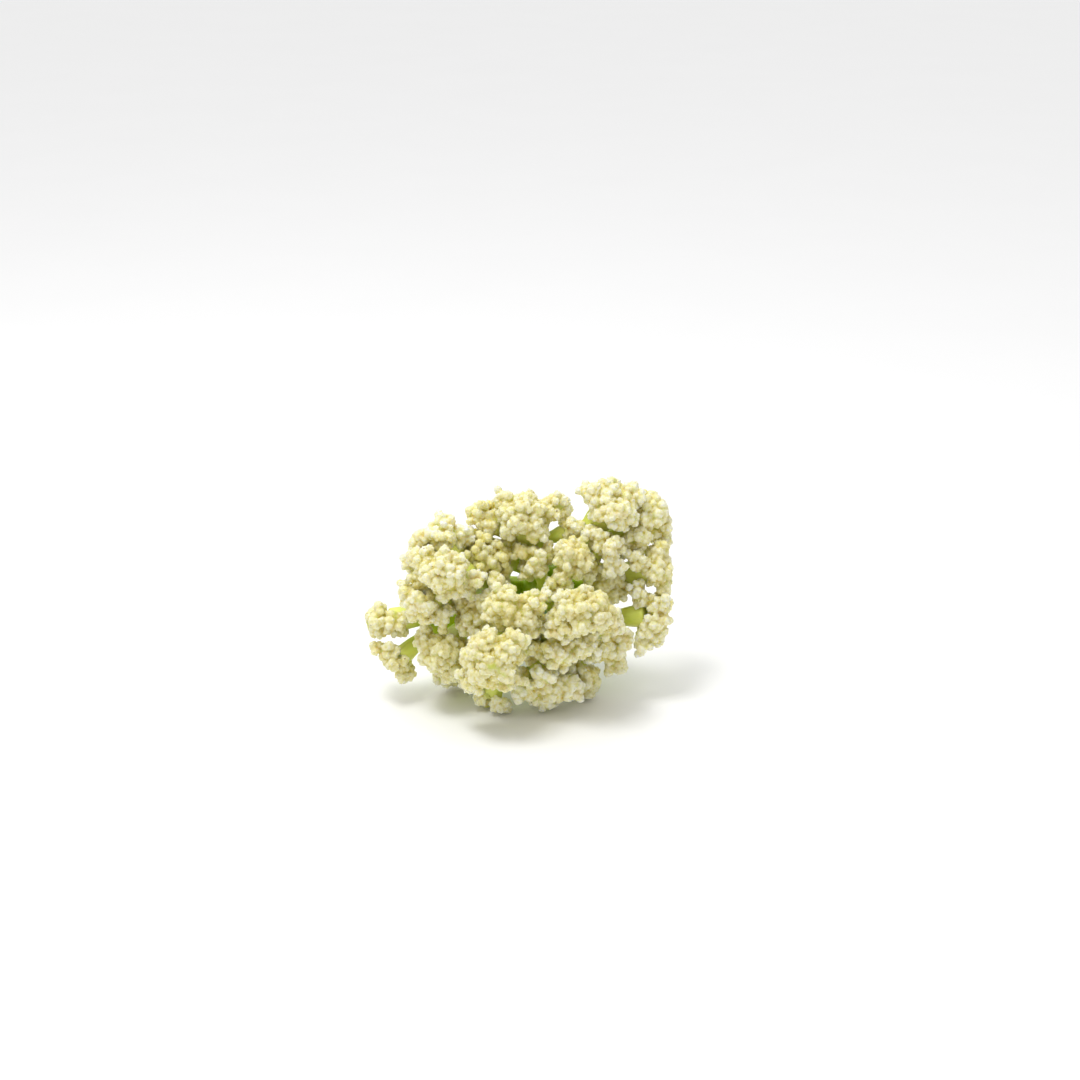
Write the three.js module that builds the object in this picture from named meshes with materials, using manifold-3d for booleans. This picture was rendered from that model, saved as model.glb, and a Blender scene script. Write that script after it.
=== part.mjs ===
// One floret of a loose-curd cauliflower, as cut from the head and laid down on a table.
// A short main stem lies at the back, its cut end on the table, and rises towards the crown. Over
// its front half it gives off eight branches. Each branch runs to one head of curd, and carries
// side stalks to more heads, so the crown is an open dome of lumpy cream-coloured heads that faces
// forwards. A head is a few lumps of curd grown together, and each lump is a cluster of lobes.
// Millimetres. +X is to the right for someone facing the crown, +Y runs back along the stem, +Z is
// up. The origin is on the table, under the middle of the floret's bounding box.

import * as THREE from "three";
import { mergeVertices } from "three/addons/utils/BufferGeometryUtils.js";
import Module from "manifold-3d";

const wasm = await Module();
wasm.setup();

// ---- Driving dimensions -------------------------------------------------------------------------

const GAP = 0.3; // left between any two pieces that meet
const BEDDING = 0.8; // how much of a resting piece is pressed flat by the table
const WELD = 1e-4; // vertices closer than this are one

const CROWN = new THREE.Vector3(0, 0, 33); // middle of the dome of curd, over the table

const STEM_TIP = new THREE.Vector3(4.5, 9, 31); // where the main stem ends, inside the crown
const STEM_CUT = new THREE.Vector2(9, 66); // where the middle of its cut face is, from above
const STEM_RISE = THREE.MathUtils.degToRad(17); // how steeply it leaves the table
const STEM_CUT_RADIUS = 9.6;
const STEM_WAIST_RADIUS = 8.6;
const STEM_WAIST_AT = 0.3; // shares of its length: where it is slim again behind the cut,
const STEM_FORKS_FROM = 0.45; // where it starts to divide,
const STEM_FORKS_TO = 0.95; // and where it has divided
const STEM_TIP_RADIUS = 4.4;
const STEM_END_SHARE = 0.6; // its very end is rounded down to this share of that

const BRANCH_RADIUS = 4.3; // at its foot
const STALK_RADIUS = 2.8; // at its foot
const TIP_SHARE = 0.62; // a branch or stalk narrows to this share of its foot
const FLARE_FROM = 0.6; // and from this share of its length it opens out under its curd
const FLARE_SHARE = 0.66; // to this share of its largest lump's radius
const ENDS_SHORT = 0.25; // it stops this share of that radius short of the head's middle
const BEND_AT = 0.5; // every stem bends over this share of the way to its end
const LEAVES_TOWARDS = 0.5; // 0 leaves its parent along the parent, 1 straight for its head

const CURD_CORE = 0.66; // the solid middle of a lump of curd, as a share of its radius
const LOBE_REACH = 0.6; // how far out its lobes sit
const LOBE_WANDER = 0.1; // the most they sit farther out or nearer than that
const LOBE_SIZE = 0.44; // their radius
const LOBE_VARIES = 0.15; // the most they are smaller or larger than that
const LOBE_SPREAD = THREE.MathUtils.degToRad(120); // how far round from the tip they go
const LARGE_LUMP = 6.5; // a lump larger than this has more lobes, and its head a finer mesh
const LARGE_LOBES = 13;
const SMALL_LOBES = 8;
const GOLDEN_ANGLE = Math.PI * (3 - Math.sqrt(5));

// Each branch: its name, where it leaves the main stem as a share of the stem's length, and its
// heads of curd. The first head is the one the branch runs to. The others stand on side stalks that
// leave the branch at "leaves", a share of the branch's length. A lump is its middle from CROWN and
// its radius, the largest lump first. A head that "rests" is pressed flat by the table.
const BRANCHES = [
  {
    name: "low",
    leaves: 0.66,
    heads: [
      {
        name: "low_front",
        lumps: [[-7.6, -30, -7.6, 9.4], [-2, -30, -2.5, 4.6], [-13.5, -28, -15, 5], [-3.5, -28, -15.5, 4.6]],
      },
      {
        name: "low_right",
        leaves: 0.4,
        rests: true,
        lumps: [
          [8, -16, -23.5, 7],
          [7.5, -13.5, -28.4, 5.6],
          [2.2, -17.5, -23.8, 5.4],
          [13.6, -16.5, -24.2, 5.6],
          [7, -19.5, -18.6, 5.2],
          [1.5, -14.5, -19.8, 4.2],
        ],
      },
      {
        name: "low_middle",
        leaves: 0.55,
        rests: true,
        lumps: [[-10.4, -12, -29.5, 4.6], [-6, -16, -30, 3.6]],
      },
      { name: "low_left", leaves: 0.3, rests: true, lumps: [[-20.3, 0.5, -30, 4.6], [-23, -3, -26, 4]] },
    ],
  },
  {
    name: "front",
    leaves: 0.9,
    radius: 4,
    heads: [
      {
        name: "front_right",
        lumps: [[17, -22, 4.5, 8.2], [22.5, -20.5, 3.5, 7.2], [12.8, -23.5, 0.5, 5], [26, -18, -1, 5]],
      },
      {
        name: "front_middle",
        leaves: 0.45,
        lumps: [[-3.6, -21, 5, 7.2], [4.4, -22, 6.6, 5], [1, -22, 0, 6], [6.6, -18, -2, 4.8]],
      },
      {
        name: "front_left",
        leaves: 0.3,
        lumps: [[-14.5, -12, -2.7, 6.8], [-11, -13, 2.5, 4.6], [-18, -10, 2.4, 4.6], [-9.2, -13, -5, 4.8]],
      },
      {
        name: "front_low",
        leaves: 0.5,
        lumps: [[11.6, -19, -9.6, 7], [4.3, -18, -7.6, 5], [18.5, -18, -8, 5.2], [3.6, -15, -13, 4.8]],
      },
      {
        name: "heart",
        leaves: 0.35,
        lumps: [[4.9, -5, 13.8, 5.4], [8.6, -4, 15.4, 4.2], [1, -4, 15.6, 4.1], [2.4, -4, 10, 3.9]],
      },
    ],
  },
  {
    name: "left",
    leaves: 0.6,
    heads: [
      {
        name: "left_front",
        lumps: [
          [-22.2, -15, 14, 8.4],
          [-14.8, -12, 9.4, 4.8],
          [-28.5, -11, 15, 6.2],
          [-30.6, -11.5, 9.8, 4.4],
        ],
      },
      {
        name: "left_top",
        leaves: 0.45,
        lumps: [[-26, -4, 17, 8.2], [-24, -2, 22.5, 5], [-17.5, 0, 19, 5.4], [-31.5, -6, 14, 4.6]],
      },
      {
        name: "left_low",
        leaves: 0.55,
        lumps: [[-30, -14, 3.2, 6.8], [-24.4, -13, -0.2, 5.2], [-33, -10, 6, 4.6]],
      },
      {
        name: "left_inner",
        leaves: 0.35,
        lumps: [[-19.5, -3, 7, 6], [-16, -1, 12.5, 4.6], [-15.4, 0.5, 16, 4.2]],
      },
    ],
  },
  {
    name: "crest",
    leaves: 0.82,
    radius: 3.7,
    heads: [
      {
        name: "crest_middle",
        lumps: [[1, 1, 25.3, 8.2], [-3.8, 3, 28.6, 4.8], [4.6, -2, 21.6, 4.8], [9.6, 4, 26.6, 5.4]],
      },
      {
        name: "crest_left",
        leaves: 0.55,
        lumps: [[-12.5, 5, 23.8, 5], [-9, 5.5, 25.4, 4.4], [-8.6, 3, 21.2, 4.2]],
      },
      {
        name: "crest_under",
        leaves: 0.3,
        lumps: [
          [-9.6, 0, 12.2, 7.6],
          [-6.2, -3, 8, 5],
          [-6.5, -8.5, 7.6, 3.8],
          [-3, -1, 14.6, 4.8],
          [-12, 2, 18.2, 4.4],
        ],
      },
      { name: "crest_twig", leaves: 0.65, lumps: [[16.3, 2, 19.6, 4.6], [14.5, 3, 22.4, 3.4]] },
    ],
  },
  {
    name: "right_crest",
    leaves: 0.74,
    heads: [
      {
        name: "right_crest_front",
        lumps: [[29, 2, 27.6, 7.6], [22.8, 3, 31.6, 5], [28, 4, 33.8, 4.5], [33.5, 5, 30.4, 5.4]],
      },
      {
        name: "right_crest_back",
        leaves: 0.5,
        lumps: [[39, 9, 23.2, 7.6], [42.4, 9, 17.8, 5.8], [36, 4, 18.2, 5.8], [33, 4, 15.2, 4.8]],
      },
      {
        name: "right_crest_under",
        leaves: 0.6,
        lumps: [[27, -3, 17.4, 6], [28.2, -4, 12.8, 4.6], [23.5, -2, 19.8, 4.4]],
      },
      {
        name: "right_heart",
        leaves: 0.3,
        lumps: [[16.2, -6, 15.4, 7], [13.3, -8, 10.8, 4.8], [11.5, -9.5, 7.6, 4], [20.6, -3, 10.6, 5]],
      },
    ],
  },
  {
    name: "right",
    leaves: 0.56,
    radius: 3.9,
    heads: [
      {
        name: "right_outer",
        lumps: [[41.8, 2, 7.4, 6.6], [42.4, 4, 13, 4.8], [43.6, 0, 3.2, 5], [36.4, 0, 12, 4.6]],
      },
      {
        name: "right_inner",
        leaves: 0.45,
        lumps: [[27.6, 1, 2, 6.2], [23.2, 1, 6, 5], [31.4, 1, 1.2, 4.4]],
      },
    ],
  },
  {
    name: "low_right",
    leaves: 0.63,
    radius: 3.6,
    heads: [
      {
        name: "lower_right_outer",
        lumps: [[28.8, -8, -12.6, 6.2], [29.2, -5.5, -19.4, 5], [23.2, -8, -15.6, 5.2]],
      },
      {
        name: "lower_right_inner",
        leaves: 0.45,
        rests: true,
        lumps: [[19.6, -6, -28.6, 4.8], [20.6, -8, -23, 5.2], [15.4, -7, -21.2, 4.4]],
      },
      {
        name: "right_low",
        leaves: 0.4,
        lumps: [[41.4, -4, -7, 6.2], [39.2, -5, -11.6, 4.6], [42.4, -3, -1.6, 4.8], [37.4, -1.5, 1.2, 4.4]],
      },
    ],
  },
  {
    name: "side",
    leaves: 0.5,
    radius: 3.4,
    heads: [
      { name: "side_twig", lumps: [[-43.4, -5, -6.5, 6], [-38, -5, -7.3, 5]] },
      {
        name: "lower_left",
        leaves: 0.35,
        lumps: [
          [-23.8, -14, -12.4, 7.4],
          [-27.5, -12, -9, 5],
          [-20.6, -14, -18, 5],
          [-17.6, -13, -11.6, 4.6],
        ],
      },
      {
        name: "side_low",
        leaves: 0.5,
        lumps: [[-39, -8, -18, 5], [-42, -8, -14.6, 3.8], [-35.4, -6.5, -22.2, 4.4]],
      },
    ],
  },
];

// ---- Meshes and solids --------------------------------------------------------------------------

function solidOf(geometry) {
  const bare = geometry.index ? geometry.toNonIndexed() : geometry.clone();
  bare.deleteAttribute("normal");
  bare.deleteAttribute("uv");
  const welded = mergeVertices(bare, WELD);
  return new wasm.Manifold(
    new wasm.Mesh({
      numProp: 3,
      vertProperties: welded.attributes.position.array,
      triVerts: new Uint32Array(welded.index.array),
    }),
  );
}

function geometryOf(solid) {
  const { vertProperties, triVerts } = solid.getMesh();
  const geometry = new THREE.BufferGeometry();
  geometry.setAttribute("position", new THREE.BufferAttribute(new Float32Array(vertProperties), 3));
  geometry.setIndex(new THREE.BufferAttribute(new Uint32Array(triVerts), 1));
  geometry.computeVertexNormals();
  return geometry;
}

// A cut can shave a flake off a lumpy piece. The piece is the part that is left.
function largestOf(solid) {
  return solid.decompose().reduce((most, one) => (one.volume() > most.volume() ? one : most));
}

// ---- Stems --------------------------------------------------------------------------------------

// A cylinder laid along a curve, with its own radius at each step. The first row is the curve's
// start. "grow" makes it larger all round, ends included.
function tube({ curve, radiusAt, sides, steps }, grow) {
  const geometry = new THREE.CylinderGeometry(1, 1, 1, sides, steps);
  const { tangents, normals, binormals } = curve.computeFrenetFrames(steps, false);
  const position = geometry.getAttribute("position");
  const point = new THREE.Vector3();
  for (let i = 0; i < position.count; i++) {
    const along = 0.5 - position.getY(i);
    const step = Math.round(along * steps);
    const radius = radiusAt(along) + grow;
    const past = (step === steps ? grow : 0) - (step === 0 ? grow : 0);
    point
      .copy(curve.getPointAt(along))
      .addScaledVector(normals[step], position.getX(i) * radius)
      .addScaledVector(binormals[step], position.getZ(i) * radius)
      .addScaledVector(tangents[step], past);
    position.setXYZ(i, point.x, point.y, point.z);
  }
  return solidOf(geometry);
}

// The main stem lies with the lower edge of its cut face on the table and curves up to the crown.
// It thins out as the branches leave it, and closes in a rounded tip among them.
function mainStem() {
  const height = STEM_CUT_RADIUS * Math.cos(STEM_RISE) - BEDDING;
  const cut = new THREE.Vector3(STEM_CUT.x, STEM_CUT.y, height);
  const reach = cut.distanceTo(STEM_TIP);
  const up = new THREE.Vector3(0, -Math.cos(STEM_RISE), Math.sin(STEM_RISE));
  const bend = cut.clone().addScaledVector(up, reach * BEND_AT);
  return {
    curve: new THREE.QuadraticBezierCurve3(cut, bend, STEM_TIP),
    radiusAt: (t) => {
      const slim = Math.min(t / STEM_WAIST_AT, 1);
      const whole = THREE.MathUtils.lerp(STEM_CUT_RADIUS, STEM_WAIST_RADIUS, slim);
      const divided = THREE.MathUtils.smoothstep(t, STEM_FORKS_FROM, STEM_FORKS_TO);
      const end = t < 1 ? 1 : STEM_END_SHARE;
      return THREE.MathUtils.lerp(whole, STEM_TIP_RADIUS, divided) * end;
    },
    sides: 18,
    steps: 12,
  };
}

// A branch or stalk leaves its parent partly along the parent's own direction and bends out to its
// head. It narrows on the way, then opens like a trumpet and ends inside the curd.
function stalk(parent, share, foot, { middle, lumps: [main] }, steps) {
  const start = parent.curve.getPointAt(share);
  const reach = start.distanceTo(middle);
  const direct = middle.clone().sub(start).normalize();
  const leaving = parent.curve.getTangentAt(share).lerp(direct, LEAVES_TOWARDS).normalize();
  const bend = start.clone().addScaledVector(leaving, reach * BEND_AT);
  const end = middle.clone().addScaledVector(direct, -ENDS_SHORT * main.radius);
  return {
    curve: new THREE.QuadraticBezierCurve3(start, bend, end),
    radiusAt: (t) => {
      const bare = foot * THREE.MathUtils.lerp(1, TIP_SHARE, Math.min(t / FLARE_FROM, 1));
      const flare = THREE.MathUtils.smoothstep(t, FLARE_FROM, 1);
      return THREE.MathUtils.lerp(bare, main.radius * FLARE_SHARE, flare);
    },
    sides: 7,
    steps,
  };
}

// ---- Curd ---------------------------------------------------------------------------------------

// The lobes of a lump stand round its outer side at the golden angle, as its growing points do.
function lobesOf({ middle, radius, order }, axis) {
  const count = radius > LARGE_LUMP ? LARGE_LOBES : SMALL_LOBES;
  const upright = new THREE.Quaternion().setFromUnitVectors(new THREE.Vector3(0, 0, 1), axis);
  const lobes = Array.from({ length: count }, (_, k) => {
    const height = 1 - ((k + 0.5) / count) * (1 - Math.cos(LOBE_SPREAD));
    const across = Math.sqrt(1 - height * height);
    const turn = k * GOLDEN_ANGLE + order;
    const odd = Math.sin(turn + 2 * order);
    const outward = new THREE.Vector3(across * Math.cos(turn), across * Math.sin(turn), height);
    outward.applyQuaternion(upright).multiplyScalar(radius * LOBE_REACH * (1 + LOBE_WANDER * odd));
    return { middle: outward.add(middle), radius: radius * LOBE_SIZE * (1 - LOBE_VARIES * odd) };
  });
  return [{ middle, radius: radius * CURD_CORE }, ...lobes];
}

// The middle of a head: the mean of its lumps' middles, each counted by its volume.
function balanceOf(lumps) {
  const sum = new THREE.Vector3();
  for (const { middle, radius } of lumps) sum.addScaledVector(middle, radius ** 3);
  return sum.divideScalar(lumps.reduce((total, { radius }) => total + radius ** 3, 0));
}

// How far a ray from "origin" goes before it leaves the lobe for good, or 0 if it misses it.
function wayOut(origin, ray, lobe) {
  const offset = lobe.middle.clone().sub(origin);
  const near = offset.dot(ray);
  const root = near * near - offset.lengthSq() + lobe.radius * lobe.radius;
  return root > 0 ? near + Math.sqrt(root) : 0;
}

// A head is solid from its middle out to the last lobe on every ray.
function curd({ lumps, middle, axis }, grow) {
  const lobes = lumps.flatMap((lump) => lobesOf(lump, axis));
  const geometry = new THREE.IcosahedronGeometry(1, lumps[0].radius > LARGE_LUMP ? 4 : 3);
  const position = geometry.getAttribute("position");
  const ray = new THREE.Vector3();
  for (let i = 0; i < position.count; i++) {
    ray.fromBufferAttribute(position, i).normalize();
    const reach = Math.max(...lobes.map((lobe) => wayOut(middle, ray, lobe)));
    ray.multiplyScalar(reach + grow).add(middle);
    position.setXYZ(i, ray.x, ray.y, ray.z);
  }
  return solidOf(geometry);
}

// A resting head is let down, or lifted, until the table presses BEDDING off its lowest lobe.
function layOnTable(head) {
  const drop = curd(head, 0).boundingBox().min[2] + BEDDING;
  for (const { middle } of [head, ...head.lumps]) middle.z -= drop;
}

// ---- Assembly -----------------------------------------------------------------------------------

const LOOKS = {
  stem: { color: 0x6f9a2b, roughness: 0.45, metalness: 0 },
  branch: { color: 0x9dbb3c, roughness: 0.5, metalness: 0 },
  curd: { color: 0xe8e0b4, roughness: 0.8, metalness: 0 },
};

const floret = new THREE.Group();
floret.name = "cauliflower_floret";

const below = new THREE.BoxGeometry(400, 400, 100).translate(0, 0, -50);
const taken = [solidOf(below)];

// Adds a piece, pressed flat by the table and cut back by GAP from every piece before it.
function add(name, looks, shape) {
  let solid = shape(0);
  for (const other of taken) solid = solid.subtract(other);
  const material = new THREE.MeshStandardMaterial(looks);
  const mesh = new THREE.Mesh(geometryOf(largestOf(solid)), material);
  mesh.name = name;
  floret.add(mesh);
  taken.push(shape(GAP));
}

let order = 0;
for (const { heads } of BRANCHES) {
  for (const head of heads) {
    head.lumps = head.lumps.map(([x, y, z, radius]) => {
      order += 1;
      return { middle: new THREE.Vector3(x, y, z).add(CROWN), radius, order };
    });
    head.middle = balanceOf(head.lumps);
    head.axis = head.middle.clone().sub(STEM_TIP).normalize();
    if (head.rests) layOnTable(head);
  }
}

const stem = mainStem();
add("main_stem", LOOKS.stem, (grow) => tube(stem, grow));

for (const { name, leaves, radius = BRANCH_RADIUS, heads: [tip] } of BRANCHES) {
  tip.stalk = stalk(stem, leaves, radius, tip, 9);
  add(`branch_${name}`, LOOKS.branch, (grow) => tube(tip.stalk, grow));
}

for (const { heads: [tip, ...others] } of BRANCHES) {
  for (const head of others) {
    head.stalk = stalk(tip.stalk, head.leaves, STALK_RADIUS, head, 6);
    add(`stalk_${head.name}`, LOOKS.branch, (grow) => tube(head.stalk, grow));
  }
}

for (const { heads } of BRANCHES) {
  for (const head of heads) add(`curd_${head.name}`, LOOKS.curd, (grow) => curd(head, grow));
}

const bounds = new THREE.Box3().setFromObject(floret);
floret.position.set(-(bounds.min.x + bounds.max.x) / 2, -(bounds.min.y + bounds.max.y) / 2, 0);

export default floret;
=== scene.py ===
import math
import random

import bmesh
import bpy
import numpy as np
from mathutils import Matrix, Vector, noise
from mathutils.bvhtree import BVHTree
from mathutils.kdtree import KDTree


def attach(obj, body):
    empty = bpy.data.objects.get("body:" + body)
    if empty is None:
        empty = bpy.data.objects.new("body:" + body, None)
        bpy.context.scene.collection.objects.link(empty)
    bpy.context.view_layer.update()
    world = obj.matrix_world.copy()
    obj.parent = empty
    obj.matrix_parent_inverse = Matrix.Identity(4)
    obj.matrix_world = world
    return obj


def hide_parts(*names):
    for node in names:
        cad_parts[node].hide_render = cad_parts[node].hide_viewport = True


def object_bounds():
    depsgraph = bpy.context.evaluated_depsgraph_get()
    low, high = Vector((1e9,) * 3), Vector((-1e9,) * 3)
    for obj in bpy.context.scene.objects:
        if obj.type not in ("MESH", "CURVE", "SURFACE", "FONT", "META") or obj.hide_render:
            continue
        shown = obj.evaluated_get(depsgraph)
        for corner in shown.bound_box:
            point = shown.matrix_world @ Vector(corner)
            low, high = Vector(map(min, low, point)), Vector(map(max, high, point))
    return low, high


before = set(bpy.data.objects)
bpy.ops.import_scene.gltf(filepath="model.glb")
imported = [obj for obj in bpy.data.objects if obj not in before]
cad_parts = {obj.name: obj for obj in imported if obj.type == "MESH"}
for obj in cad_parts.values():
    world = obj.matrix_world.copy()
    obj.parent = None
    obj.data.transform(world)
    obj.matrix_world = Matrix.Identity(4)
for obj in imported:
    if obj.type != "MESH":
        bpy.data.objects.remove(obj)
cad_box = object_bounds()

# The stem, its branches and its stalks.
# One piece of green tissue with a thin wax: the main stem forks into eight branches, and they
# into stalks that widen where a head of curd begins. A knife cut the stem across at its end.
MM = 0.001
SAME_PLACE = 0.001 * MM  # corners nearer than this are one corner
STEM_SWELL = 0.32 * MM  # closes the hair gaps between the stem, its branches and its stalks
STEM_CELL = 0.52 * MM
STEM_SMOOTHING = 7
CUT_TRIM = 0.7 * MM  # what the knife takes off the rounded end
CUT_RIM = 0.3 * MM  # no ribs this near to the cut, so that it stays flat
GRAIN_SQUEEZE = 0.1  # the fibres are this much drawn out along the stem
RIB_WIDTH = 1.1 * MM
RIB_HEIGHT = 0.16 * MM
YOUNG_WITHIN = 26 * MM  # the skin turns pale from this far off a head of curd


def tissue(*nodes):
    """A closed copy of these parts of the frame."""
    made = bmesh.new()
    for node in nodes:
        made.from_mesh(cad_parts[node].data)
    bmesh.ops.remove_doubles(made, verts=made.verts, dist=SAME_PLACE)
    made.normal_update()
    return made


def skin_of(*nodes):
    """The surface of these parts of the frame, to measure how far off a place is."""
    part = tissue(*nodes)
    skin = BVHTree.FromBMesh(part)
    part.free()
    return skin


def drop_crumbs(shape):
    """Keeps the largest skin of the shape, and drops the loose bits and sealed bubbles."""
    skins = []
    for start in shape.verts:
        if start.tag:
            continue
        start.tag = True
        skin = [start]
        for corner in skin:
            for edge in corner.link_edges:
                beside = edge.other_vert(corner)
                if not beside.tag:
                    beside.tag = True
                    skin.append(beside)
        skins.append(skin)
    skins.sort(key=len)
    crumbs = [corner for skin in skins[:-1] for corner in skin]
    bmesh.ops.delete(shape, geom=crumbs, context="VERTS")


def grown_together(shape, cell):
    """One skin over everything in the shape, drawn with cells of that size."""
    mesh = bpy.data.meshes.new("growing")
    shape.to_mesh(mesh)
    shape.free()
    growing = bpy.data.objects.new("growing", mesh)
    bpy.context.scene.collection.objects.link(growing)
    skin = growing.modifiers.new("skin", "REMESH")
    skin.mode = "VOXEL"
    skin.voxel_size = cell
    grown = growing.evaluated_get(bpy.context.evaluated_depsgraph_get()).to_mesh()
    made = bmesh.new()
    made.from_mesh(grown)
    bpy.data.objects.remove(growing)
    bpy.data.meshes.remove(mesh)
    drop_crumbs(made)
    made.normal_update()
    return made


def smoothed(shape, times):
    """Evens the shape out, a little each time."""
    for _ in range(times):
        bmesh.ops.smooth_vert(
            shape,
            verts=shape.verts,
            factor=0.5,
            use_axis_x=True,
            use_axis_y=True,
            use_axis_z=True,
        )
    shape.normal_update()


stem_nodes = sorted(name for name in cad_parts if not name.startswith("curd_"))
curd_nodes = sorted(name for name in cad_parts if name.startswith("curd_"))
curds = skin_of(*curd_nodes)

# every stem, branch and stalk swells until they touch, and each keeps its own long axis
green = bmesh.new()
axes = []
owners = KDTree(sum(len(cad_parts[name].data.vertices) for name in stem_nodes))
for number, name in enumerate(stem_nodes):
    part = tissue(name)
    places = np.array([corner.co for corner in part.verts])
    middle = places.mean(0)
    turned = np.linalg.svd(places - middle)[2]
    axes.append((Vector(middle), Matrix(turned)))
    for corner in part.verts:
        owners.insert(corner.co, number)
        corner.co += corner.normal * STEM_SWELL
    part_mesh = bpy.data.meshes.new(name)
    part.to_mesh(part_mesh)
    part.free()
    green.from_mesh(part_mesh)
    bpy.data.meshes.remove(part_mesh)
owners.balance()
green = grown_together(green, STEM_CELL)
smoothed(green, STEM_SMOOTHING)


def inside_box(place, margin=0.0):
    """The nearest place that stays inside the frame's box and above the table."""
    low, high = cad_box
    return Vector(
        min(max(value, low[axis] + margin), high[axis] - margin)
        for axis, value in enumerate(place)
    )


# the knife's cut across the end of the main stem
end_face = max(
    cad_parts["main_stem"].data.polygons, key=lambda face: face.center.y
)
cut_way = end_face.normal.copy()
cut_place = inside_box(end_face.center - cut_way * CUT_TRIM)
rind = bmesh.ops.bisect_plane(
    green,
    geom=green.verts[:] + green.edges[:] + green.faces[:],
    dist=SAME_PLACE,
    plane_co=cut_place,
    plane_no=cut_way,
    clear_outer=True,
)
rim = [part for part in rind["geom_cut"] if isinstance(part, bmesh.types.BMEdge)]
cut = bmesh.ops.contextual_create(green, geom=rim)["faces"]
green.normal_update()

# the fibres run along each branch, and fine ribs follow them
grain = green.verts.layers.float_vector.new("grain")
young = green.verts.layers.float.new("young")
for corner in green.verts:
    middle, turned = axes[owners.find(corner.co)[1]]
    along, across, through = turned @ (corner.co - middle)
    corner[grain] = Vector((across, through, along * GRAIN_SQUEEZE))
    corner[young] = 1 - min(curds.find_nearest(corner.co)[3] / YOUNG_WITHIN, 1)
for corner in green.verts:
    if abs((corner.co - cut_place).dot(cut_way)) > CUT_RIM:
        rib = noise.noise(corner[grain] / RIB_WIDTH)
        corner.co += corner.normal * rib * RIB_HEIGHT
    corner.co = inside_box(corner.co)


class Value:
    """A number, colour or direction in a finish, so that the finish can be written as sums."""

    def __init__(self, tree, socket=None):
        self.tree = tree
        self.socket = socket

    def node(self, kind, settings=None, inputs=None, output=0):
        """Any node of the finish: its settings are made first, then its sockets are fed."""
        made = self.tree.nodes.new("ShaderNode" + kind)
        for name, setting in (settings or {}).items():
            if name == "stops":
                band = made.color_ramp.elements
                while len(band) < len(setting):
                    band.new(1.0)
                for stop, (position, shade) in zip(band, setting):
                    stop.position = position
                    stop.color = shade
            else:
                setattr(made, name, setting)
        for name, value in (inputs or {}).items():
            if isinstance(value, Value):
                self.tree.links.new(value.socket, made.inputs[name])
            else:
                made.inputs[name].default_value = value
        return Value(self.tree, made.outputs[output])

    def maths(self, operation, first, second):
        return self.node("Math", {"operation": operation}, {0: first, 1: second})

    def __add__(self, other):
        return self.maths("ADD", self, other)

    __radd__ = __add__

    def __sub__(self, other):
        return self.maths("SUBTRACT", self, other)

    def __rsub__(self, other):
        return self.maths("SUBTRACT", other, self)

    def __mul__(self, other):
        return self.maths("MULTIPLY", self, other)

    __rmul__ = __mul__

    def __truediv__(self, other):
        return self.maths("DIVIDE", self, other)

    def held(self):
        """The number kept between 0 and 1."""
        return self.node("Clamp", {}, {"Value": self})

    def step(self, start, end):
        """0 up to start, 1 from end on, and a soft rise between them."""
        return self.node(
            "MapRange",
            {"interpolation_type": "SMOOTHSTEP"},
            {"Value": self, "From Min": start, "From Max": end},
        )

    def blend(self, first, second):
        """The first colour where this is 0, the second where it is 1."""
        return self.node(
            "Mix", {"data_type": "RGBA"}, {"Factor": self, 6: first, 7: second}, 2
        )

    def ramp(self, stops):
        """The colours of the stops, from where this is 0 to where it is 1."""
        return self.node("ValToRGB", {"stops": stops}, {"Fac": self})

    def attribute(self, name, output="Fac"):
        """What the mesh notes under that name."""
        return self.node("Attribute", {"attribute_name": name}, {}, output)

    def speckle(self, place, size, detail=2.0, roughness=0.5):
        """Soft random patches of that size."""
        return self.node(
            "TexNoise",
            {},
            {
                "Vector": place,
                "Scale": 1 / size,
                "Detail": detail,
                "Roughness": roughness,
            },
        )

    def cells(self, place, size):
        """Cells of that size: how far each place is from the middle of its own."""
        return self.node("TexVoronoi", {}, {"Vector": place, "Scale": 1 / size})

    def bump(self, strength, depth, height):
        """The surface's direction with that relief on it."""
        return self.node(
            "Bump", {}, {"Strength": strength, "Distance": depth, "Height": height}
        )


def colour(red, green, blue):
    """A shade on a painter's scale of 0 to 255, as the light it gives back."""
    return tuple((part / 255) ** 2.2 for part in (red, green, blue)) + (1.0,)


def new_finish(name):
    """A new finish, its surface shader, a value to build on and the place on the piece."""
    finish = bpy.data.materials.new(name)
    finish.use_nodes = True
    surface = finish.node_tree.nodes["Principled BSDF"]
    start = Value(finish.node_tree)
    return finish, surface, start, start.node("TexCoord", {}, {}, "Object")


def feeds(surface, **values):
    """Links each value to the socket of that name."""
    for name, value in values.items():
        surface.id_data.links.new(value.socket, surface.inputs[name.replace("_", " ")])


def lets_light_in(surface, share, depth, tint=(1.0, 0.2, 0.1)):
    """That share of the light goes as deep as this into the tissue and takes on its tint."""
    surface.inputs["Subsurface Weight"].default_value = share
    surface.inputs["Subsurface Scale"].default_value = depth
    surface.inputs["Subsurface Radius"].default_value = tint


# the skin: deep green on the old stem, pale near the curd, streaked along its fibres
STREAK = 0.9 * MM
CLOUD = 9 * MM
WAX_PATCH = 2.4 * MM
DIMPLE = 0.12 * MM
OLD_TO_YOUNG = [
    (0.0, colour(78, 118, 8)),
    (0.3, colour(122, 162, 16)),
    (0.6, colour(192, 212, 54)),
    (1.0, colour(230, 236, 122)),
]
VEIN = colour(178, 200, 96)

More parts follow.
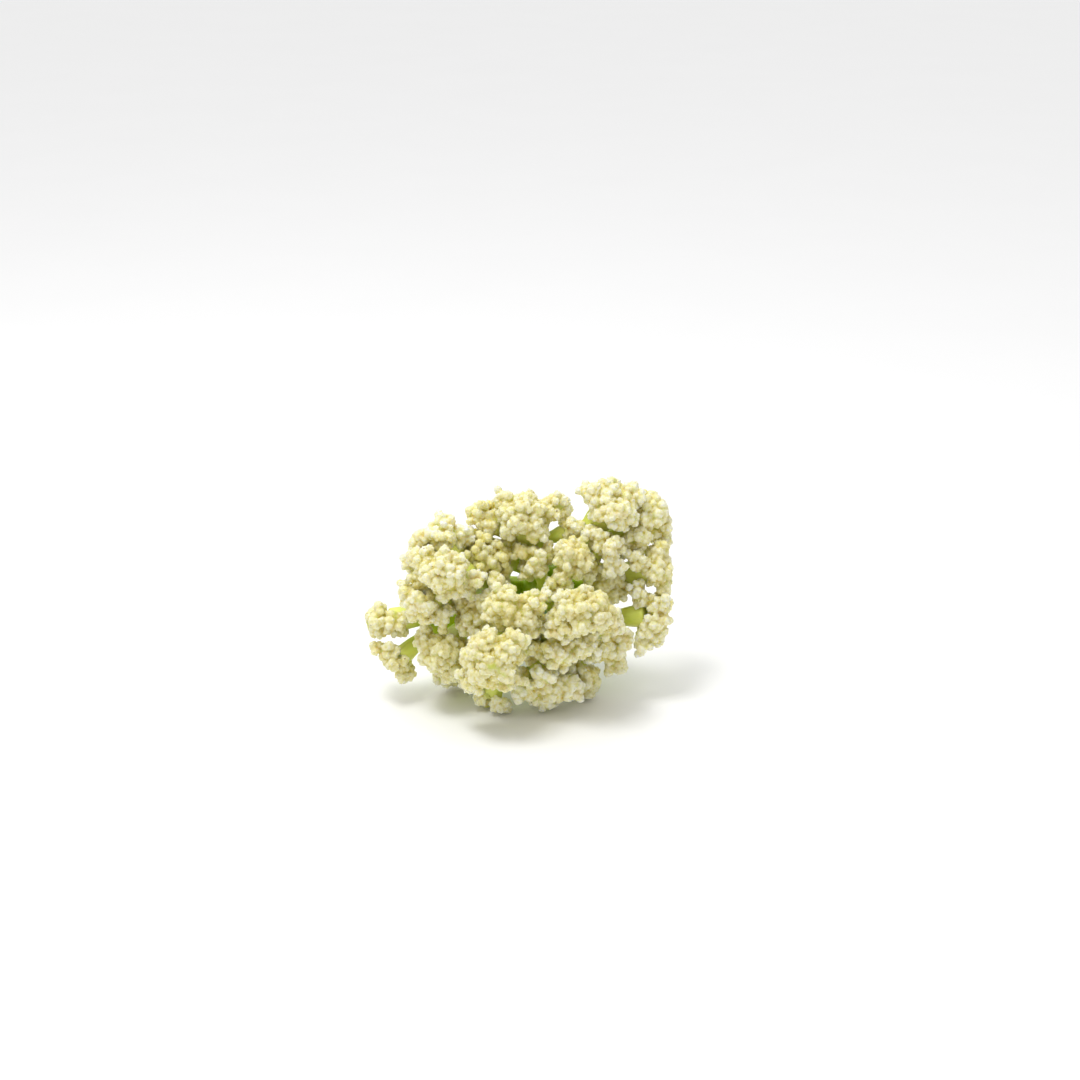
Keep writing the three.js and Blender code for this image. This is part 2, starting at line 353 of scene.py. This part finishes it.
stem_finish, surface, start, place = new_finish("stem_skin")
streak = start.speckle(start.attribute("grain", "Vector"), STREAK, 3.0, 0.6)
cloud = start.speckle(place, CLOUD)
wax = start.speckle(place, WAX_PATCH, 3.0)
age = start.attribute("young") + (cloud - 0.5) * 0.35 + (streak - 0.5) * 0.3
vein = streak.step(0.52, 0.72) * 0.35
feeds(
    surface,
    Base_Color=vein.blend(age.held().ramp(OLD_TO_YOUNG), VEIN),
    Roughness=0.3 + wax * 0.22,
    Normal=start.bump(0.5, DIMPLE, streak + wax * 0.6),
)
lets_light_in(surface, 0.4, 2.0 * MM, (0.7, 1.0, 0.3))
surface.inputs["Specular IOR Level"].default_value = 0.4

# the cut face: pale flesh with a ring of green vessels, and a green rind
CUT_RADIUS = 9.5 * MM
RING_WAVE = 1.6 * MM
PORE = 0.5 * MM
PORE_DEPTH = 0.1 * MM
PITH_TO_RIND = [
    (0.0, colour(222, 226, 176)),
    (0.52, colour(212, 220, 156)),
    (0.66, colour(176, 196, 104)),
    (0.74, colour(206, 216, 142)),
    (0.9, colour(150, 178, 66)),
    (1.0, colour(96, 134, 30)),
]
DRY_PORE = colour(188, 190, 120)

cut_finish, surface, start, place = new_finish("cut_stem")
off_middle = start.node(
    "VectorMath",
    {"operation": "DISTANCE"},
    {0: place, 1: tuple(cut_place)},
    "Value",
)
ring = off_middle / CUT_RADIUS + (start.speckle(place, RING_WAVE, 3.0) - 0.5) * 0.12
pores = start.speckle(place, PORE, 3.0, 0.7)
feeds(
    surface,
    Base_Color=(pores.step(0.55, 0.75) * 0.3).blend(ring.ramp(PITH_TO_RIND), DRY_PORE),
    Roughness=0.45 + pores * 0.2,
    Normal=start.bump(0.6, PORE_DEPTH, pores),
)
lets_light_in(surface, 0.15, 1.5 * MM)
for face in cut:
    face.material_index = 1


def piece(name, shape, finishes, nodes):
    """The finished object: it rides on the floret and stands for those nodes."""
    mesh = bpy.data.meshes.new(name)
    shape.to_mesh(mesh)
    shape.free()
    mesh.shade_smooth()
    for finish in finishes:
        mesh.materials.append(finish)
    made = bpy.data.objects.new(name, mesh)
    bpy.context.scene.collection.objects.link(made)
    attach(made, "root")
    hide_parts(*nodes)
    return made


piece("stem_and_branches", green, [stem_finish, cut_finish], stem_nodes)

# The heads of curd.
# Each is a crowd of cream, undeveloped flower buds, which sit on small round knobs, the knobs
# on larger lumps, and the lumps side by side in clusters, grown on the end of a stalk.
CURD_CELL = 0.25 * MM
HEAD_SMOOTHING = 12  # takes a head's own bulges off, to find how far each place bulges
BULGE_GAIN = 0.8
CLUSTER = 6.4 * MM
CLUSTER_RISE = 2.1 * MM
CLUSTER_TOP = 0.1  # of the rise, in the middle of a cluster
CLUSTER_FALL = 1.3  # of the rise, lost at one cluster's width from its middle
PARTING = 2.6 * MM  # how near a neighbouring head presses a parting in
PARTING_DEPTH = 1.5 * MM
VALLEY = -4.5 * MM  # no lumps grow lower than this
STALK_REACH = 0.9 * MM  # nor as near to the stalk as this
BARE_NEAR_STALK = 0.86  # nor within this cosine of the way to the stalk
CORE_INSET = 0.9 * MM
CORE_SMOOTHING = 2

LUMP = 1.4 * MM
LUMP_PACKING = 0.7  # how near two lumps' middles may be, as a share of both radii
LUMP_SEAT = 0.7  # how deep a lump sits, as a share of its radius
KNOB = 0.64 * MM
KNOBS_ON_LUMP = 9
KNOB_SPREAD = 0.8
KNOB_STANDS = 0.72  # how far out on its lump a knob's middle is
SIZE_VARIES = 0.25
EDGE_WAVE = 6 * MM  # the outermost heads end in waves this long, not in one flat side
EDGE_ROOM = 2.4 * MM  # and this deep

SKIN_SMOOTHING = 16  # evens the knobs out, to find how proud of the rest each place is
NEAR_KNOBS = 5
PROUD_BY = 0.4 * MM  # a place this far out is fully proud
HIGH_BY = 4 * MM  # and so is one on a lump that rose this far
LOWEST = -0.45  # what a sunken lump takes off, at most
BARE_BY = 0.8 * MM  # a place this far off every knob is fully bare
BUD = 0.7 * MM
BUD_HEIGHT = 0.28 * MM
BUD_TOP = 0.9  # of the height, in the middle of a bud
BUD_FALL = 2.2  # of the height, lost at one bud's width from its middle
BUD_FLOOR = -0.35

# head: what carries it, and how yellow and shaded it is from 0 to 1, natural yellowing and
# painted shade together
HEADS = {
    "low_front": ("branch_low", 0.75),
    "low_right": ("stalk_low_right", 0.05),
    "low_middle": ("stalk_low_middle", 0.4),
    "low_left": ("stalk_low_left", 0.6),
    "front_right": ("branch_front", 0.8),
    "front_middle": ("stalk_front_middle", 0.75),
    "front_left": ("stalk_front_left", 0.5),
    "front_low": ("stalk_front_low", 0.45),
    "heart": ("stalk_heart", 0.5),
    "left_front": ("branch_left", 0.5),
    "left_top": ("stalk_left_top", 0.0),
    "left_low": ("stalk_left_low", 0.45),
    "left_inner": ("stalk_left_inner", 0.6),
    "crest_middle": ("branch_crest", 0.7),
    "crest_left": ("stalk_crest_left", 0.35),
    "crest_under": ("stalk_crest_under", 0.8),
    "crest_twig": ("stalk_crest_twig", 0.3),
    "right_crest_front": ("branch_right_crest", 0.15),
    "right_crest_back": ("stalk_right_crest_back", 0.45),
    "right_crest_under": ("stalk_right_crest_under", 0.4),
    "right_heart": ("stalk_right_heart", 0.7),
    "right_outer": ("branch_right", 0.6),
    "right_inner": ("stalk_right_inner", 0.6),
    "lower_right_outer": ("branch_low_right", 0.5),
    "lower_right_inner": ("stalk_lower_right_inner", 0.5),
    "right_low": ("stalk_right_low", 0.5),
    "side_twig": ("branch_side", 0.75),
    "lower_left": ("stalk_lower_left", 0.85),
    "side_low": ("stalk_side_low", 0.9),
}

ball = bmesh.new()
bmesh.ops.create_icosphere(ball, subdivisions=2, radius=1.0)
ball_mesh = bpy.data.meshes.new("ball")
ball.to_mesh(ball_mesh)
ball.free()


def add_ball(shape, place, radius):
    """A ball there, loose in the shape until it has grown together."""
    matrix = Matrix.Translation(place) @ Matrix.Scale(radius, 4)
    ball_mesh.transform(matrix)
    shape.from_mesh(ball_mesh)
    ball_mesh.transform(matrix.inverted())


def evened(shape, times):
    """Where each corner of the shape lies once it is smoothed that many times."""
    even = shape.copy()
    smoothed(even, times)
    places = [corner.co.copy() for corner in even.verts]
    even.free()
    return places


def head_core(name, carrier):
    """A head's rough shape, drawn in a little, and the spots over it where lumps may grow."""
    shape = tissue("curd_" + name)
    bmesh.ops.subdivide_edges(shape, edges=shape.edges, cuts=1, use_grid_fill=True)
    shape.normal_update()
    even = evened(shape, HEAD_SMOOTHING)
    middle = sum((corner.co for corner in shape.verts), Vector()) / len(shape.verts)
    stalk = skin_of(carrier)
    neighbours = skin_of(*(node for node in curd_nodes if node != "curd_" + name))
    to_stalk = (stalk.find_nearest(middle)[0] - middle).normalized()
    spots = []
    for corner, even_place in zip(shape.verts, even):
        way = corner.normal.copy()
        bulge = (corner.co - even_place).dot(way)
        cluster = noise.voronoi(corner.co / CLUSTER)[0][0]
        dome = CLUSTER_TOP - CLUSTER_FALL * cluster * cluster
        rise = bulge * BULGE_GAIN + dome * CLUSTER_RISE
        clear = neighbours.find_nearest(corner.co)[3] / PARTING
        rise -= max(1 - clear, 0) * PARTING_DEPTH
        off_stalk = stalk.find_nearest(corner.co)[3]
        loose = min(off_stalk / STALK_REACH, 1)
        place = corner.co + way * rise * loose
        behind = (corner.co - middle).normalized().dot(to_stalk) > BARE_NEAR_STALK
        if rise > VALLEY and off_stalk > STALK_REACH and not behind:
            spots.append((place, way, rise))
        corner.co = place - way * CORE_INSET * loose
    smoothed(shape, CORE_SMOOTHING)
    return shape, spots


def knobs_on(spots, draw):
    """Lumps side by side on the spots, each with small knobs, as (middle, radius, rise)."""
    lumps = np.zeros((len(spots), 3))
    radii = np.zeros(len(spots))
    count = 0
    for place, way, rise in spots:
        radius = LUMP * draw.uniform(1 - SIZE_VARIES, 1 + SIZE_VARIES)
        gaps = np.linalg.norm(lumps[:count] - place, axis=1)
        if (gaps < LUMP_PACKING * (radii[:count] + radius)).any():
            continue
        lumps[count] = place
        radii[count] = radius
        count += 1
        room = (noise.noise(place / EDGE_WAVE) + 0.5) * EDGE_ROOM
        middle = inside_box(place - way * radius * LUMP_SEAT, radius + room)
        yield middle, radius, rise
        for _ in range(KNOBS_ON_LUMP):
            aside = Vector(draw.gauss(0, KNOB_SPREAD) for _ in range(3))
            knob = KNOB * draw.uniform(1 - SIZE_VARIES, 1 + SIZE_VARIES)
            outward = (way + aside).normalized()
            stands = middle + outward * radius * KNOB_STANDS
            yield inside_box(stands, knob + room), knob, rise


def note_looks(shape, knobs, ripeness_and_shade):
    """Notes how proud each place is, for the painted crease shade, how bare of knobs, and how
    ripe and shaded the head is, for the finish.
    """
    proud = shape.verts.layers.float.new("proud")
    bare = shape.verts.layers.float.new("bare")
    ripe = shape.verts.layers.float.new("ripe")
    middles = KDTree(len(knobs))
    for number, (place, _, _) in enumerate(knobs):
        middles.insert(place, number)
    middles.balance()
    for corner, even_place in zip(shape.verts, evened(shape, SKIN_SMOOTHING)):
        off = (corner.co - even_place).dot(corner.normal)
        near = middles.find_n(corner.co, NEAR_KNOBS)
        open_ground = min(far - knobs[number][1] for _, number, far in near)
        rise = knobs[near[0][1]][2]
        # how proud a place is, and how high its lump rose, sets the painted crease shade and
        # painted top light of the finish
        corner[proud] = off / PROUD_BY + max(rise / HIGH_BY, LOWEST)
        corner[bare] = min(max(open_ground / BARE_BY, 0), 1)
        # one number per head, for its natural yellowing and painted shade together
        corner[ripe] = ripeness_and_shade


def press_out_buds(shape):
    """Raises a small dome on the skin over each bud, except on bare ground."""
    bare = shape.verts.layers.float["bare"]
    for corner in shape.verts:
        to_bud = noise.voronoi(corner.co / BUD)[0][0]
        dome = max(BUD_TOP - BUD_FALL * to_bud, BUD_FLOOR) * (1 - corner[bare])
        corner.co = inside_box(corner.co + corner.normal * dome * BUD_HEIGHT)


def head_of_curd(name, carrier, ripeness_and_shade, draw):
    """A whole head, as one skin over its core and its knobs."""
    shape, spots = head_core(name, carrier)
    draw.shuffle(spots)
    knobs = list(knobs_on(spots, draw))
    for place, radius, _ in knobs:
        add_ball(shape, place, radius)
    shape = grown_together(shape, CURD_CELL)
    note_looks(shape, knobs, ripeness_and_shade)
    press_out_buds(shape)
    return shape


# the finish: cream knobs with painted shade, yellower and darker, down between them and
# painted light on the proudest tops, with buds, warm patches and brown flecks
FINISH_BUD = 0.58 * MM
GRIT = 0.5 * MM
WARM_PATCH = 4.5 * MM
FLECK_APART = 2.6 * MM
FLECK_PATCH = 11 * MM
BUD_RELIEF = 0.12 * MM
# painted shade in the creases at the low end, painted light on the proud tops at the high end,
# over the curd's own cream
SHADED_LOW_TO_LIT_HIGH = [
    (0.0, colour(234, 212, 76)),
    (0.25, colour(241, 226, 132)),
    (0.5, colour(245, 239, 190)),
    (0.75, colour(249, 247, 222)),
    (1.0, colour(252, 254, 244)),
]
WARM = colour(238, 216, 150)
# the colour of natural yellowing mixed with painted shade
RIPE_AND_SHADE = colour(204, 192, 88)
BARE = colour(196, 204, 66)
FLECK = colour(128, 88, 40)

curd_finish, surface, start, place = new_finish("curd")
proud = start.attribute("proud")
bare = start.attribute("bare")
ripe = start.attribute("ripe")
grit = start.speckle(place, GRIT, 2.0, 0.6)
off_bud = start.cells(place, FINISH_BUD)
dome = 1 - off_bud * off_bud * 2
# painted shade and light: creases, low lumps and bud edges take the yellower, darker end of
# the ramp, proud knobs and bud middles the near-white end
height = (proud * 0.4 + dome * 0.14 + (grit - 0.5) * 0.06 + 0.5).held()
warm = start.speckle(place, WARM_PATCH).step(0.48, 0.75) * 0.45
flecked = start.speckle(place, FLECK_PATCH).step(0.6, 0.7)
fleck = (1 - start.cells(place, FLECK_APART).step(0.08, 0.14)) * flecked * 0.75
skin = warm.blend(height.ramp(SHADED_LOW_TO_LIT_HIGH), WARM)
# painted shade and natural yellowing: the head's number darkens and yellows it, most in its
# low places
skin = (ripe * (0.65 - height * 0.45)).blend(skin, RIPE_AND_SHADE)
skin = (bare * 0.8).blend(skin, BARE)
feeds(
    surface,
    Base_Color=fleck.blend(skin, FLECK),
    Roughness=0.3 + grit * 0.25,
    Normal=start.bump(0.5, BUD_RELIEF, dome + grit * 0.3),
)
lets_light_in(surface, 0.8, 2.2 * MM, (1.0, 0.94, 0.5))
surface.inputs["Specular IOR Level"].default_value = 0.5

FIRST_DRAW = 11  # each head has its own run of chances, the same every time
for number, (name, (carrier, ripeness_and_shade)) in enumerate(HEADS.items()):
    draw = random.Random(number + FIRST_DRAW)
    head = head_of_curd(name, carrier, ripeness_and_shade, draw)
    piece("curd_piece_" + name, head, [curd_finish], ["curd_" + name])
bpy.data.meshes.remove(ball_mesh)

# The table.
# A wide sheet of matt white board that the floret lies on, a little uneven in its white.
BOARD_HALF = 3.0
BOARD_HAZE = 60 * MM

board = bmesh.new()
bmesh.ops.create_grid(board, x_segments=1, y_segments=1, size=BOARD_HALF)
board_mesh = bpy.data.meshes.new("table")
board.to_mesh(board_mesh)
board.free()
board_finish, surface, start, place = new_finish("white_board")
haze = start.speckle(place, BOARD_HAZE)
feeds(
    surface, Base_Color=haze.blend(colour(250, 250, 250), colour(252, 252, 252))
)
surface.inputs["Roughness"].default_value = 0.9
surface.inputs["Specular IOR Level"].default_value = 0.1
board_mesh.materials.append(board_finish)
table = bpy.data.objects.new("table", board_mesh)
bpy.context.scene.collection.objects.link(table)

# The studio.
# A white tent lights everything softly, brightest overhead, with one wide soft box above and
# a little in front.
TENT_LOW = 0.38
TENT_RISE = 0.48
TENT_TOP = 0.7
TENT_BRIGHTEST = (-0.1, 0.3, 0.95)
SOFT_BOX_PLACE = Vector((-160, -120, 620)) * MM
SOFT_BOX_AIM = Vector((0, 0, 30)) * MM
SOFT_BOX_SIZE = (0.22, 0.18)
SOFT_BOX_POWER = 1.7

tent = bpy.data.worlds.new("white_tent")
tent.use_nodes = True
sky = tent.node_tree.nodes["Background"]
sky.inputs["Color"].default_value = (1, 1, 1, 1)
start = Value(tent.node_tree)
way = start.node("TexCoord", {}, {}, "Generated")
overhead = start.node(
    "VectorMath", {"operation": "DOT_PRODUCT"}, {0: way, 1: TENT_BRIGHTEST}, "Value"
).held()
feeds(
    sky,
    Strength=TENT_LOW + overhead * overhead * (TENT_RISE + overhead * TENT_TOP),
)
bpy.context.scene.world = tent

box_light = bpy.data.lights.new("soft_box", "AREA")
box_light.shape = "RECTANGLE"
box_light.size, box_light.size_y = SOFT_BOX_SIZE
box_light.energy = SOFT_BOX_POWER
soft_box = bpy.data.objects.new("soft_box", box_light)
soft_box.location = SOFT_BOX_PLACE
aim = SOFT_BOX_AIM - SOFT_BOX_PLACE
soft_box.rotation_euler = aim.to_track_quat("-Z", "Y").to_euler()
bpy.context.scene.collection.objects.link(soft_box)
bpy.context.scene.view_settings.view_transform = "Standard"

# The camera.
# It looks a little down on the front of the floret, from arm's length, with the crown a
# little left of the middle of its view and below it.
CAMERA_TILT = math.radians(22)
CAMERA_AWAY = 656 * MM
CAMERA_RIGHT = 6.24 * MM
CAMERA_UP = 17.16 * MM
CAMERA_LENS = 70.09
CAMERA_SENSOR = 36
CROWN = Vector((0.38, -14.72, 33)) * MM

ahead = Vector((0, math.cos(CAMERA_TILT), -math.sin(CAMERA_TILT)))
above = Vector((0, math.sin(CAMERA_TILT), math.cos(CAMERA_TILT)))
aside = Vector((1, 0, 0))
camera_data = bpy.data.cameras.new("camera")
camera_data.lens = CAMERA_LENS
camera_data.sensor_width = CAMERA_SENSOR
camera_data.clip_start = 10 * MM
camera = bpy.data.objects.new("camera", camera_data)
camera.location = (
    CROWN - ahead * CAMERA_AWAY + aside * CAMERA_RIGHT + above * CAMERA_UP
)
camera.rotation_euler = (math.pi / 2 - CAMERA_TILT, 0, 0)
bpy.context.scene.collection.objects.link(camera)
bpy.context.scene.camera = camera
